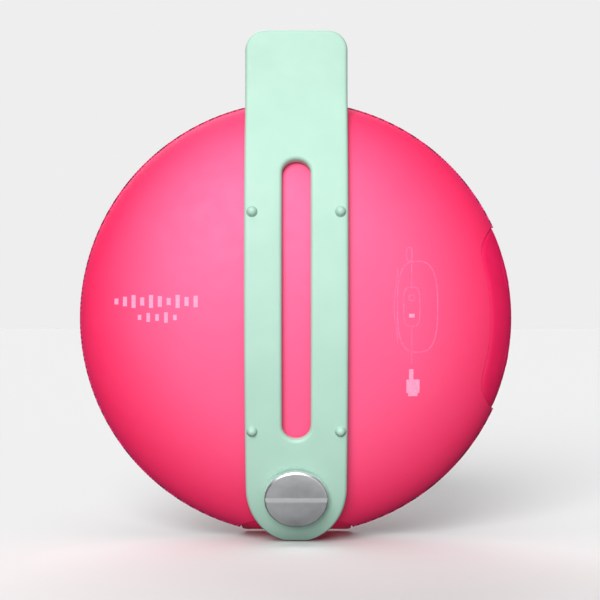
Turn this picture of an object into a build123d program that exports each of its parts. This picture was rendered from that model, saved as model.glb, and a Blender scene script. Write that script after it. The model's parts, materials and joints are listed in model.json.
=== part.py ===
from build123d import *
import math
import os

# A round splash-proof speaker that stands on its rim: soft-touch rear dome, fabric
# front, and a silicone strap up the back held by one slotted stud.
# Lengths in millimetres. The front faces -Y, +Z is up. Each piece is drawn about the
# middle of the round body and lifted by CENTRE_HEIGHT when it is written.

# Driving dimensions
BODY_RADIUS = 60.5          # rear shell at its rim
FABRIC_RADIUS = 60.8        # the fabric stands a little proud of the shell
REAR_DEPTH = 22.0           # height of the rear dome
FRONT_DEPTH = 25.15         # height of the fabric front
PARTING_Y = 1.8             # where the rear shell meets the fabric
SHELL_WALL = 2.4
FABRIC_THICK = 0.7
GRILLE_GAP = 0.05           # slack between the fabric and the plate under it
GRILLE_WALL = 1.8
FRONT_POWER = 2.5           # roundness of the front's profile
CENTRE_HEIGHT = 61.9        # middle of the body above the lowest point, the strap lug

STRAP_WIDTH = 27.7
STRAP_THICK = 2.8
STRAP_GAP = 0.35            # the strap lies this far off the dome
STRAP_TOP_Z = 79.6
STRAP_BEND_Z = 52.0         # the strap leaves the dome here
STRAP_BEND_END_Z = 64.0
STRAP_TAB_LEAN = 8.0        # degrees the free tab leans forward
STRAP_TAB_CORNER = 5.6
LUG_MIDDLE_Z = -46.4        # the lug's round end is drawn about this height
LUG_OVAL_END_Z = -62.4      # where the lug's oval outline would end
LUG_END_Z = -61.9           # where its tip is cut square
STRAP_SPLIT_Z = -36.0       # the blade flexes away from the lug here
STRAP_SPLIT_GAP = 0.3
SLOT_WIDTH = 7.8
SLOT_TOP_Z = 43.0
SLOT_BOTTOM_Z = -32.4
NUB_X = 11.8
NUB_ZS = (28.5, -30.0)
NUB_RADIUS = 1.5

STUD_Z = -48.0
STUD_HEAD_RADIUS = 8.65
STUD_HEAD_THICK = 1.9
STUD_SLOT_WIDTH = 1.7
STUD_SLOT_DEPTH = 1.1
STUD_NECK_RADIUS = 4.0
STUD_THREAD_RADIUS = 2.5
STUD_LENGTH = 12.0          # from under the head
BUSHING_WALL = 1.4
RUNNING_CLEARANCE = 0.05
INSERT_WALL = 1.2
INSERT_LENGTH = 6.0

PANEL_LENGTH = 51.0         # along Z
PANEL_WIDTH = 20.5          # along Y
PANEL_GAP = 0.25
PANEL_INSET = 0.15
PANEL_WALL = 2.0
KEY_LENGTH = 12.0
KEY_WIDTH = 9.0
KEY_GAP = 0.3
KEY_Z = 12.0
KEY_DEPTH = 3.0
KEY_FACE_INSET = 0.1

VOLUME_X = 36.0
VOLUME_RADIUS = 7.0
VOLUME_FACE_Y = -23.7

FOOT_LENGTH = 31.5          # along X
FOOT_FRONT_Y = -14.0
FOOT_REAR_Y = 7.5
FOOT_FRONT_CORNER = 3.0
FOOT_REAR_CORNER = 7.0
FOOT_Z = -61.1              # flat standing face
FOOT_FLAT_REAR_Y = -10.5    # behind this line the foot slopes up
FOOT_SLOPE = 0.17           # rise for each millimetre towards the back
FOOT_TOP_Z = -52.8
FOOT_CUT_Z = -50.0          # its opening in the case reaches up to here
FOOT_INSET = 0.2            # its back part sits this far under the dome
DOOR_LENGTH = 17.0
DOOR_WIDTH = 8.4
DOOR_Y = -1.8
DOOR_THICK = 1.2
DOOR_RECESS = 0.3
DOOR_GAP = 0.45

BAFFLE_Y = -12.0            # front face of the baffle
BAFFLE_THICK = 2.4
BAFFLE_RADIUS = 52.0
DRIVER_RADIUS = 25.0
RADIATOR_Z = 38.0
RADIATOR_LENGTH = 46.0
RADIATOR_HEIGHT = 20.0
SCREW_RING = 48.8
SCREW_ANGLES = (35, 145, 215, 325)

MAGNET_RADIUS = 15.0
PLATE_Y = 0.0               # front of the magnet's top plate
POLE_RADIUS = 6.6
POLE_GAP_RADIUS = 8.4
BASKET_RADIUS = 21.6
BASKET_WALL = 1.2
BASKET_FLOOR = 1.4
BASKET_BORE = 10.0
COIL_RADIUS = 7.6
COIL_WALL = 0.4
CONE_RIM_RADIUS = 17.6
CONE_RIM_Y = -13.6
ROLL_RADIUS = 19.3          # middle of the surround's roll
ROLL_RIM_RADIUS = 21.4
ROLL_HEIGHT = 1.9
ROLL_THICK = 0.4
DUST_CAP_Y = -8.6           # back edge of the dust cap

CELL_RADIUS = 9.0
CELL_LENGTH = 65.0
CELL_Y = 3.0
CELL_Z = -26.0
BOARD_WIDTH = 56.0
BOARD_BOTTOM_Z = 18.0
BOARD_TOP_Z = 42.0
BOARD_Y = 6.0
BOARD_THICK = 1.6

FAR = 200.0                 # larger than the object, for cutting


def turned(profile):
    """A solid turned about the speaker's axis from a closed outline of (radius, y)."""
    return revolve(make_face(profile), Axis.Y)


def ring(outer, inner, y_from, y_to, x=0.0, z=0.0):
    """A round washer or disc that lies square to the speaker's axis."""
    middle = Vector(x, y_from, z)
    base = Plane(origin=middle, x_dir=(1, 0, 0), z_dir=(0, 1, 0))
    shape = Circle(outer)
    if inner > 0:
        shape -= Circle(inner)
    return extrude(base * shape, y_to - y_from)


def block(x_from, x_to, y_from, y_to, z_from, z_to):
    size = Box(x_to - x_from, y_to - y_from, z_to - z_from)
    return Pos((x_from + x_to) / 2, (y_from + y_to) / 2, (z_from + z_to) / 2) * size


def rear_dome(inset):
    """The half-ellipse dome of the back, as a full solid, drawn in by inset."""
    radius, depth = BODY_RADIUS - inset, REAR_DEPTH - inset
    arc = EllipticalCenterArc((0, 0), radius, depth, 0, arc_size=90)
    outline = Curve() + [Line((0, 0), (radius, 0)), arc, Line((0, depth), (0, 0))]
    return turned(outline)


def front_bowl(inset):
    """The rounded front, as a full solid up to the parting line, drawn in by inset."""
    radius = FABRIC_RADIUS - inset
    depth = FRONT_DEPTH - inset
    points = []
    for step in range(9):
        angle = math.radians(90 * step / 8)
        r = radius * math.cos(angle) ** (2 / FRONT_POWER)
        y = -depth * math.sin(angle) ** (2 / FRONT_POWER)
        points.append((r, y))
    points[-1] = (0, -depth)
    arc = Spline(*points, tangents=((0, -1), (-1, 0)))
    edges = [
        Line((0, PARTING_Y), (radius, PARTING_Y)),
        Line((radius, PARTING_Y), (radius, 0)),
        arc,
        Line((0, -depth), (0, PARTING_Y)),
    ]
    return turned(Curve() + edges)


def body_solid(inset):
    """Everything inside the skin of the closed speaker, drawn in by inset."""
    return rear_dome(inset) + front_bowl(inset + FABRIC_RADIUS - BODY_RADIUS)


def behind(y):
    return block(-FAR, FAR, y, FAR, -FAR, FAR)


def side_prism(length, width, grow=0.0, z=0.0):
    """A round-ended prism that enters from the key side, x < 0."""
    base = Plane(origin=(0, 0, z), x_dir=(0, 0, 1), z_dir=(-1, 0, 0))
    return extrude(base * SlotOverall(length + 2 * grow, width + 2 * grow), FAR)


def foot_prism(grow=0.0):
    """The foot's outline, as a prism that enters from below."""
    middle = (FOOT_FRONT_Y + FOOT_REAR_Y) / 2
    width = FOOT_REAR_Y - FOOT_FRONT_Y
    outline = Pos(0, middle) * Rectangle(FOOT_LENGTH + 2 * grow, width + 2 * grow)
    outline = fillet(outline.vertices().group_by(Axis.Y)[0], FOOT_FRONT_CORNER + grow)
    outline = fillet(outline.vertices().group_by(Axis.Y)[-1], FOOT_REAR_CORNER + grow)
    return Pos(0, 0, FOOT_CUT_Z) * extrude(outline, -FAR)


def door_prism(grow=0.0):
    """The port door's outline, as a round-ended prism that enters from below."""
    outline = Pos(0, DOOR_Y) * SlotOverall(DOOR_LENGTH + 2 * grow, DOOR_WIDTH + 2 * grow)
    return Pos(0, 0, FOOT_CUT_Z) * extrude(outline, -FAR)


def stadium_ring(length, height, inner_less, y_from, y_to, z):
    """A round-ended frame that lies square to the speaker's axis."""
    base = Plane(origin=(0, y_from, z), x_dir=(1, 0, 0), z_dir=(0, 1, 0))
    shape = SlotOverall(length, height)
    if inner_less > 0:
        shape -= SlotOverall(length - 2 * inner_less, height - 2 * inner_less)
    return extrude(base * shape, y_to - y_from)


# The stud stands square to the strap's outer face.
def strap_outer_y(z):
    depth = REAR_DEPTH + STRAP_GAP + STRAP_THICK
    radius = BODY_RADIUS + STRAP_GAP + STRAP_THICK
    return depth * math.sqrt(1 - (z / radius) ** 2)


def strap_lean(z):
    """Degrees that the strap's face leans from upright at a height below the bend."""
    depth = REAR_DEPTH + STRAP_GAP + STRAP_THICK
    radius = BODY_RADIUS + STRAP_GAP + STRAP_THICK
    slope = depth / radius * (z / radius) / math.sqrt(1 - (z / radius) ** 2)
    return math.degrees(math.atan(slope))


STUD_LEAN = strap_lean(STUD_Z)
STUD_AXIS = Vector(
    0, math.cos(math.radians(STUD_LEAN)), math.sin(math.radians(STUD_LEAN))
)
STUD_SEAT = Plane(
    origin=(0, strap_outer_y(STUD_Z), STUD_Z), x_dir=(1, 0, 0), z_dir=STUD_AXIS
)


def stud_cylinder(radius, depth_from, depth_to):
    """A round bar on the stud's axis; depths are measured outward from the seat."""
    base = STUD_SEAT.offset(depth_from)
    return extrude(base * Circle(radius), depth_to - depth_from)


# Casing

def rear_shell():
    shell = rear_dome(0) & behind(PARTING_Y)
    hollow = rear_dome(SHELL_WALL)
    shell -= hollow
    boss_start = -STRAP_THICK - STRAP_GAP - 0.5
    insert_radius = STUD_THREAD_RADIUS + RUNNING_CLEARANCE + INSERT_WALL
    boss = stud_cylinder(insert_radius + 2.0, boss_start - INSERT_LENGTH - 3.0, boss_start)
    posts = [
        ring(2.6, 0, BOARD_Y + BOARD_THICK, REAR_DEPTH, x, z)
        for x, z in board_screw_places()
    ]
    bosses = [
        ring(3.2, 0, BAFFLE_Y + BAFFLE_THICK, REAR_DEPTH, x, z)
        for x, z in housing_screw_places()
    ]
    for piece in [boss, *posts, *bosses]:
        shell += piece & rear_dome(SHELL_WALL / 2)
    for x, z in housing_screw_places():
        shell += ring(3.2, 0, BAFFLE_Y + BAFFLE_THICK, PARTING_Y + 0.5, x, z)
        shell -= ring(1.1, 0, BAFFLE_Y + BAFFLE_THICK - 1, 4.0, x, z)
    for x, z in board_screw_places():
        shell -= ring(0.8, 0, BOARD_Y, BOARD_Y + BOARD_THICK + 3.5, x, z)
    shell -= stud_cylinder(STUD_NECK_RADIUS + 0.3, boss_start - 0.6, 5.0)
    shell -= stud_cylinder(insert_radius, boss_start - 0.6 - INSERT_LENGTH, boss_start)
    shell -= side_prism(PANEL_LENGTH, PANEL_WIDTH, PANEL_GAP)
    shell -= foot_prism(PANEL_GAP)
    return shell


def volume_openings(grow):
    return [
        ring(VOLUME_RADIUS + grow, 0, -FAR, 0, side * VOLUME_X, 0) for side in (-1, 1)
    ]


def grille_fabric():
    skin = front_bowl(0) - front_bowl(FABRIC_THICK)
    skin -= behind(PARTING_Y - 0.1)
    skin -= side_prism(PANEL_LENGTH, PANEL_WIDTH, PANEL_GAP)
    skin -= foot_prism(PANEL_GAP)
    for opening in volume_openings(0.5):
        skin -= opening
    return skin


def front_grille():
    """The perforated plate that the fabric is stretched over."""
    outside = FABRIC_THICK + GRILLE_GAP
    plate = front_bowl(outside) - front_bowl(outside + GRILLE_WALL)
    plate -= behind(0.0)
    plate -= side_prism(PANEL_LENGTH, PANEL_WIDTH, PANEL_GAP)
    plate -= foot_prism(PANEL_GAP)
    for opening in volume_openings(0.5):
        plate -= opening
    holes = []
    for row, (radius, count) in enumerate([(6, 6), (13, 12), (20, 18), (47, 20)]):
        for k in range(count):
            angle = 2 * math.pi * (k + row / 2) / count
            x, z = radius * math.cos(angle), radius * math.sin(angle)
            if abs(z) > 12 or abs(x) < 24:
                holes.append(ring(2.2, 0, -FAR, -5, x, z))
    for side in (-1, 1):
        for x in (-16, -8, 0, 8, 16):
            holes.append(ring(2.6, 0, -FAR, -5, x, side * (RADIATOR_Z - 1)))
    return plate - holes


def hem_ring():
    """The ring that clamps the fabric's hem between the two halves of the case."""
    band = ring(57.3, 55.0, -3.0, PARTING_Y)
    band -= side_prism(PANEL_LENGTH, PANEL_WIDTH, 1.0)
    band -= foot_prism(0.6)
    return band.solids().sort_by(Axis.X)[-1]


def baffle():
    plate = ring(BAFFLE_RADIUS, 0, BAFFLE_Y, BAFFLE_Y + BAFFLE_THICK)
    plate -= ring(DRIVER_RADIUS - 3.0, 0, -FAR, FAR)
    for side in (-1, 1):
        plate -= stadium_ring(
            RADIATOR_LENGTH - 5, RADIATOR_HEIGHT - 5, 0, -FAR, FAR, side * RADIATOR_Z
        )
    for x, z in housing_screw_places():
        plate -= ring(1.5, 0, -FAR, FAR, x, z)
    for x, z in driver_screw_places():
        plate -= ring(0.8, 0, -FAR, FAR, x, z)
    return plate - baffle_seal_groove()


def baffle_seal_groove():
    return ring(54.0, 51.2, BAFFLE_Y - 1, BAFFLE_Y + 1.2)


def baffle_seal():
    """A rubber ring seated in the step round the baffle's edge."""
    return ring(52.4, 51.2, BAFFLE_Y, BAFFLE_Y + 1.2)


# Places that several pieces share

def round_places(radius, angles):
    return [
        (radius * math.cos(math.radians(a)), radius * math.sin(math.radians(a)))
        for a in angles
    ]


def housing_screw_places():
    return round_places(SCREW_RING, SCREW_ANGLES)


def driver_screw_places():
    return round_places(DRIVER_RADIUS - 1.6, (45, 135, 225, 315))


def board_screw_places():
    x = BOARD_WIDTH / 2 - 3.5
    return [
        (side * x, z)
        for side in (-1, 1)
        for z in (BOARD_BOTTOM_Z + 3.5, BOARD_TOP_Z - 3.5)
    ]


# Driver

FLANGE_Y = BAFFLE_Y - 1.9   # front of the basket's flange


def driver_gasket():
    seal = ring(DRIVER_RADIUS, DRIVER_RADIUS - 3.0, BAFFLE_Y - 0.5, BAFFLE_Y)
    for x, z in driver_screw_places():
        seal -= ring(0.9, 0, -FAR, FAR, x, z)
    return seal


def basket():
    front, back = BAFFLE_Y - 0.5, PLATE_Y
    outline = [
        (DRIVER_RADIUS, FLANGE_Y),
        (DRIVER_RADIUS, front),
        (BASKET_RADIUS, front),
        (BASKET_RADIUS, front + 2.5),
        (MAGNET_RADIUS, back - BASKET_FLOOR),
        (MAGNET_RADIUS, back),
        (BASKET_BORE, back),
        (BASKET_BORE, back - BASKET_FLOOR),
        (MAGNET_RADIUS - BASKET_FLOOR, back - BASKET_FLOOR),
        (BASKET_RADIUS - BASKET_WALL, front + 2.0),
        (BASKET_RADIUS - BASKET_WALL, FLANGE_Y),
    ]
    frame = turned(Polyline(*outline, close=True))
    for k in range(6):
        cut = Pos(17.5, (front + back) / 2 + 1.5, 0) * Box(12.0, 5.0, 8.0)
        frame -= Rot(0, 60 * k + 30, 0) * cut
    for x, z in driver_screw_places():
        frame -= ring(0.9, 0, -FAR, FAR, x, z)
    return frame


def top_plate():
    return ring(MAGNET_RADIUS, POLE_GAP_RADIUS, PLATE_Y, PLATE_Y + 2.0)


def magnet():
    return ring(MAGNET_RADIUS, 9.6, PLATE_Y + 2.0, PLATE_Y + 7.0)


def yoke():
    back = ring(MAGNET_RADIUS, 0, PLATE_Y + 7.0, PLATE_Y + 9.0)
    return back + ring(POLE_RADIUS, 0, PLATE_Y, PLATE_Y + 7.0)


def voice_coil():
    return ring(COIL_RADIUS, COIL_RADIUS - COIL_WALL, PLATE_Y - 8.2, PLATE_Y + 3.0)


def spider():
    return ring(MAGNET_RADIUS, COIL_RADIUS + 0.3, PLATE_Y - 4.0, PLATE_Y - 3.5)


def cone():
    outline = [
        (COIL_RADIUS, PLATE_Y - 7.6), (COIL_RADIUS + 0.7, PLATE_Y - 8.2),
        (CONE_RIM_RADIUS, CONE_RIM_Y), (CONE_RIM_RADIUS, CONE_RIM_Y + 0.7),
    ]
    return turned(Polyline(*outline, close=True))


def surround():
    """The rubber roll between the cone's edge and the basket."""
    front, back = CONE_RIM_Y + 0.1, CONE_RIM_Y + 0.1 + ROLL_THICK
    start, rim = CONE_RIM_RADIUS + 0.2, ROLL_RIM_RADIUS
    flange_back = FLANGE_Y + ROLL_THICK
    edges = [
        ThreePointArc((start, front), (ROLL_RADIUS, front - ROLL_HEIGHT), (rim, FLANGE_Y)),
        Line((rim, FLANGE_Y), (rim, flange_back)),
        ThreePointArc((rim, flange_back), (ROLL_RADIUS, back - ROLL_HEIGHT), (start, back)),
        Line((start, back), (start, front)),
    ]
    return turned(Curve() + edges) - basket()


def dust_cap():
    edge, inner_edge = COIL_RADIUS + 0.4, COIL_RADIUS - 0.4
    crown = DUST_CAP_Y - 2.4
    outline = [
        (edge, DUST_CAP_Y), (0.75 * edge, crown + 1.0), (0.4 * edge, crown + 0.2), (0, crown),
        (0, crown + 0.5), (3.0, crown + 0.7), (5.6, crown + 1.4), (inner_edge, DUST_CAP_Y),
    ]
    return turned(Polyline(*outline, close=True))


# Passive radiators, one above and one below the driver

def radiator_frame(z):
    return stadium_ring(RADIATOR_LENGTH, RADIATOR_HEIGHT, 1.8, BAFFLE_Y - 1.4, BAFFLE_Y, z)


def radiator_surround(z):
    length, height = RADIATOR_LENGTH - 3.6, RADIATOR_HEIGHT - 3.6
    return stadium_ring(length, height, 3.2, BAFFLE_Y - 1.0, BAFFLE_Y - 0.4, z)


def radiator_plate(z):
    length, height = RADIATOR_LENGTH - 10.6, RADIATOR_HEIGHT - 10.6
    face = stadium_ring(length, height, 0, BAFFLE_Y - 1.3, BAFFLE_Y - 0.1, z)
    weight = stadium_ring(length - 4, height - 4, 0, BAFFLE_Y - 0.1, BAFFLE_Y + 1.6, z)
    return face + weight


# Keys

def side_panel():
    skin = body_solid(PANEL_INSET) - body_solid(PANEL_INSET + PANEL_WALL)
    skin &= side_prism(PANEL_LENGTH, PANEL_WIDTH)
    for z in (KEY_Z, -KEY_Z):
        skin -= side_prism(KEY_LENGTH, KEY_WIDTH, KEY_GAP, z)
    return skin


def side_key(z):
    cap = body_solid(KEY_FACE_INSET) & side_prism(KEY_LENGTH, KEY_WIDTH, 0, z)
    return cap & block(-FAR, -BODY_RADIUS + KEY_DEPTH + 1.4, -FAR, FAR, -FAR, FAR)


SIDE_SWITCH_FACE_X = -BODY_RADIUS + KEY_DEPTH + 1.4 + 0.7
SIDE_BOARD_X = SIDE_SWITCH_FACE_X + 2.4


def side_switches():
    return [
        block(SIDE_SWITCH_FACE_X, SIDE_BOARD_X, -1.8, 1.8, z - 2.6, z + 2.6)
        for z in (KEY_Z, -KEY_Z)
    ]


def side_board():
    return block(SIDE_BOARD_X, SIDE_BOARD_X + 1.2, -3.8, 3.8, -17, 17)


FRONT_BOARD_Y = BAFFLE_Y - 1.2
FRONT_SWITCH_FACE_Y = FRONT_BOARD_Y - 4.0


def volume_button(side):
    """A round key with a raised mark: a bar on one, a cross on the other."""
    place = (side * VOLUME_X, 0)
    cap = ring(VOLUME_RADIUS, 0, VOLUME_FACE_Y, VOLUME_FACE_Y + 3.4, *place)
    cap += ring(2.6, 0, VOLUME_FACE_Y + 3.4, FRONT_SWITCH_FACE_Y - 0.7, *place)
    bar, half = 0.9, 3.4
    x, top = place[0], VOLUME_FACE_Y - 0.4
    cap += block(x - half, x + half, top, VOLUME_FACE_Y, -bar, bar)
    if side < 0:
        cap += block(x - bar, x + bar, top, VOLUME_FACE_Y, -half, half)
    return cap


def front_board(side):
    x = side * VOLUME_X
    return block(x - 7, x + 7, FRONT_BOARD_Y, BAFFLE_Y, -5.5, 5.5)


def front_switches():
    return [
        block(
            side * VOLUME_X - 2.6, side * VOLUME_X + 2.6,
            FRONT_SWITCH_FACE_Y, FRONT_BOARD_Y, -2.6, 2.6,
        )
        for side in (-1, 1)
    ]


# Foot, port door and port

def foot_bottom(y):
    """Height of the foot's underside: flat in front, sloping up behind."""
    return FOOT_Z + max(0.0, y - FOOT_FLAT_REAR_Y) * FOOT_SLOPE


def under_foot_slope():
    """Everything below the sloping back part of the foot."""
    rear = FOOT_REAR_Y + 4
    outline = Polyline(
        (FOOT_FLAT_REAR_Y, FOOT_Z), (rear, foot_bottom(rear)),
        (rear, FOOT_Z - 8), (FOOT_FLAT_REAR_Y, FOOT_Z - 8),
        close=True,
    )
    return extrude(Plane.YZ * make_face(outline), FAR, both=True)


def foot_pad():
    pad = foot_prism() & block(-FAR, FAR, -FAR, FAR, FOOT_Z, FOOT_TOP_Z)
    pad -= under_foot_slope()
    pad -= behind(0) - rear_dome(FOOT_INSET)
    return pad - door_prism(DOOR_GAP)


def port_door():
    """A thin flap with a small plug on its inside."""
    face = foot_bottom(DOOR_Y) + DOOR_RECESS
    slab = Pos(0, DOOR_Y, face + DOOR_THICK / 2)
    lean = math.degrees(math.atan(FOOT_SLOPE))
    flap = door_prism() & (slab * Rot(lean, 0, 0) * Box(FAR, FAR, DOOR_THICK))
    back = face + DOOR_THICK
    return flap + block(-3.9, 3.9, DOOR_Y - 0.9, DOOR_Y + 0.9, back - 0.6, back + 0.9)


SOCKET_MOUTH_Z = FOOT_TOP_Z + 0.4


def usb_socket():
    """A metal receptacle with its open mouth facing the port door."""
    base = Plane(origin=(0, DOOR_Y, SOCKET_MOUTH_Z), x_dir=(1, 0, 0), z_dir=(0, 0, 1))
    body = extrude(base * SlotOverall(8.94, 3.2), 7.3)
    body -= extrude(base * SlotOverall(8.3, 2.6), 6.2)
    tongue_from, tongue_to = SOCKET_MOUTH_Z + 0.8, SOCKET_MOUTH_Z + 7
    return body + block(-3.3, 3.3, DOOR_Y - 0.35, DOOR_Y + 0.35, tongue_from, tongue_to)


def port_board():
    back = DOOR_Y + 1.6
    return block(-11, 11, back, back + 1.2, SOCKET_MOUTH_Z + 1.5, SOCKET_MOUTH_Z + 14)


# Strap

def strap_oval(depth):
    """Half the height and half the depth of the oval that the strap lies on."""
    radius = BODY_RADIUS + STRAP_GAP + STRAP_THICK - depth
    height = REAR_DEPTH + STRAP_GAP + STRAP_THICK - depth
    return radius, height


def strap_tab_line(depth):
    """The bend's start, middle and end and a point past the tab's top, in (y, z)."""
    above = STRAP_TOP_Z + 5
    lean_start = strap_lean(STRAP_BEND_Z)
    lean_middle = (lean_start + STRAP_TAB_LEAN) / 2
    rise = (STRAP_BEND_END_Z - STRAP_BEND_Z) / 2
    y, z = strap_outer_y(STRAP_BEND_Z), STRAP_BEND_Z
    route = [(y, z, lean_start)]
    for lean_from, lean_to in ((lean_start, lean_middle), (lean_middle, STRAP_TAB_LEAN)):
        y -= rise * math.tan(math.radians((lean_from + lean_to) / 2))
        z += rise
        route.append((y, z, lean_to))
    y -= (above - z) * math.tan(math.radians(STRAP_TAB_LEAN))
    route.append((y, above, STRAP_TAB_LEAN))
    moved = []
    for y, z, lean in route:
        angle = math.radians(lean)
        moved.append((y - depth * math.cos(angle), z - depth * math.sin(angle)))
    return moved


def strap_under(depth):
    """Everything inside the strap's face at a depth, as a prism along X."""
    radius, height = strap_oval(depth)
    start, middle, end, top = strap_tab_line(depth)
    end_angle = math.degrees(math.asin(start[1] / radius))
    foot_angle = -math.degrees(math.asin(min(1.0, -LUG_END_Z / radius)))
    arc = EllipticalCenterArc(
        (0, 0), height, radius, foot_angle, arc_size=end_angle - foot_angle
    )
    edges = [
        arc,
        ThreePointArc(arc @ 1, middle, end),
        Line(end, top),
        Line(top, (-40, top[1])),
        Line((-40, top[1]), (-40, (arc @ 0).Y)),
        Line((-40, (arc @ 0).Y), arc @ 0),
    ]
    return extrude(Plane.YZ * make_face(Curve() + edges), STRAP_WIDTH, both=True)


def strap_outline():
    """The strap seen from behind: rounded tab on top, round lug at the bottom."""
    length = STRAP_TOP_Z - LUG_MIDDLE_Z
    face = Pos(0, LUG_MIDDLE_Z + length / 2) * Rectangle(STRAP_WIDTH, length)
    face = fillet(face.vertices().group_by(Axis.Y)[-1], STRAP_TAB_CORNER)
    face += Pos(0, LUG_MIDDLE_Z) * Ellipse(STRAP_WIDTH / 2, LUG_MIDDLE_Z - LUG_OVAL_END_Z)
    slot_middle = (SLOT_TOP_Z + SLOT_BOTTOM_Z) / 2
    slot = SlotOverall(SLOT_TOP_Z - SLOT_BOTTOM_Z, SLOT_WIDTH, rotation=90)
    face -= Pos(0, slot_middle) * slot
    return extrude(Plane.XZ * face, -FAR)


def whole_strap():
    tip_y, tip_lean = strap_outer_y(LUG_END_Z), math.radians(strap_lean(LUG_END_Z))
    strap = (strap_under(0) - strap_under(STRAP_THICK)) & strap_outline()
    tip = Plane(
        origin=(0, tip_y, LUG_END_Z),
        x_dir=(1, 0, 0),
        z_dir=(0, math.sin(tip_lean), -math.cos(tip_lean)),
    )
    return strap - extrude(tip * Rectangle(FAR, FAR), 10)


def strap_lug(strap):
    lug = strap & block(-FAR, FAR, -FAR, FAR, -FAR, STRAP_SPLIT_Z - STRAP_SPLIT_GAP)
    return lug - stud_cylinder(STUD_NECK_RADIUS + RUNNING_CLEARANCE + BUSHING_WALL, -20, 20)


def strap_blade(strap):
    blade = strap & block(-FAR, FAR, -FAR, FAR, STRAP_SPLIT_Z, FAR)
    for z in NUB_ZS:
        for side in (-1, 1):
            y = strap_outer_y(z)
            blade += Pos(side * NUB_X, y, z) * Sphere(NUB_RADIUS)
    return blade - strap_under(STRAP_THICK)


def lug_bushing():
    bore = STUD_NECK_RADIUS + RUNNING_CLEARANCE
    tube = stud_cylinder(bore + BUSHING_WALL, -STRAP_THICK, -0.2)
    return tube - stud_cylinder(bore, -STRAP_THICK - 1, 1)


def strap_stud():
    head = stud_cylinder(STUD_HEAD_RADIUS, 0.1, STUD_HEAD_THICK + 0.1)
    head = chamfer(head.edges().filter_by(GeomType.CIRCLE).sort_by(Axis.Y)[-1], 0.7)
    neck = stud_cylinder(STUD_NECK_RADIUS, -STRAP_THICK - STRAP_GAP - 0.9, 0.2)
    thread = stud_cylinder(STUD_THREAD_RADIUS, -STUD_LENGTH + 2.0, -STRAP_THICK)
    slot = STUD_SEAT.offset(STUD_HEAD_THICK + 0.1 - STUD_SLOT_DEPTH)
    cut = extrude(slot * Rectangle(2 * STUD_HEAD_RADIUS + 2, STUD_SLOT_WIDTH), 5)
    return head + neck + thread - cut


def stud_insert():
    start = -STRAP_THICK - STRAP_GAP - 1.1
    bore = STUD_THREAD_RADIUS + RUNNING_CLEARANCE
    tube = stud_cylinder(bore + INSERT_WALL, start - INSERT_LENGTH + 0.2, start)
    return tube - stud_cylinder(bore, start - INSERT_LENGTH - 1, start + 1)


# Power and boards

def battery_cell():
    return Pos(0, CELL_Y, CELL_Z) * Rot(0, 90, 0) * Cylinder(CELL_RADIUS, CELL_LENGTH)


def battery_cradle():
    """A saddle under the cell, glued to the back of the baffle."""
    back = BAFFLE_Y + BAFFLE_THICK
    saddles = []
    for side in (-1, 1):
        x = side * 24
        post = block(x - 2.5, x + 2.5, back, CELL_Y, CELL_Z - 5.5, CELL_Z + 5.5)
        saddles.append(post)
    tie = block(-26.5, 26.5, back, back + 1.4, CELL_Z - 5.5, CELL_Z - 1.0)
    bed = Pos(0, CELL_Y, CELL_Z) * Rot(0, 90, 0) * Cylinder(CELL_RADIUS, FAR)
    return saddles[0] + saddles[1] + tie - bed


def main_board():
    board = block(
        -BOARD_WIDTH / 2, BOARD_WIDTH / 2,
        BOARD_Y, BOARD_Y + BOARD_THICK, BOARD_BOTTOM_Z, BOARD_TOP_Z,
    )
    for x, z in board_screw_places():
        board -= ring(1.1, 0, -FAR, FAR, x, z)
    return board


def shield_can():
    return block(-9, 9, BOARD_Y - 2.2, BOARD_Y, BOARD_BOTTOM_Z + 4, BOARD_TOP_Z - 5)


def screws(places, head_y, length, head_radius, shank_radius):
    """Pan-head screws driven from the front."""
    made = []
    for x, z in places:
        screw = ring(head_radius, 0, head_y - 1.4, head_y, x, z)
        screw += ring(shank_radius, 0, head_y, head_y + length, x, z)
        socket = ring(0.7, 0, head_y - 2, head_y - 0.7, x, z)
        made.append(screw - socket)
    return made


def lead(points, radius, wire):
    """An insulated lead: straight runs joined by tangent arcs."""
    corners = []
    for before, here, after in zip(points, points[1:], points[2:]):
        into = Vector(*here) - Vector(*before)
        out = Vector(*after) - Vector(*here)
        turn = math.radians(into.get_angle(out))
        corners.append(0.45 * min(into.length, out.length) / math.tan(turn / 2))
    print(wire, "bend radii", [round(r, 1) for r in corners])
    path = FilletPolyline(*points, radius=corners)
    section = Plane(origin=path @ 0, z_dir=path % 0) * Circle(radius)
    tube = sweep(section, path=path)
    print(wire, "volume share", round(tube.volume / (math.pi * radius**2 * path.length), 3))
    return tube


SPEAKER_LEAD = [
    (-13.0, BOARD_Y + 3.0, 24.0), (-19.0, BOARD_Y + 3.6, 17.0),
    (-22.5, 6.0, 8.0), (-21.5, 0.5, 0.5), (-19.2, -4.4, -3.0),
]
BATTERY_LEAD = [
    (34.2, CELL_Y, CELL_Z), (38.0, 3.4, -20.0), (38.8, 4.0, -9.0),
    (35.0, 5.0, 1.0), (28.0, 7.5, 9.0), (20.0, BOARD_Y + 4.0, 17.0),
    (15.0, BOARD_Y + 3.0, 25.0),
]


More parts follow.
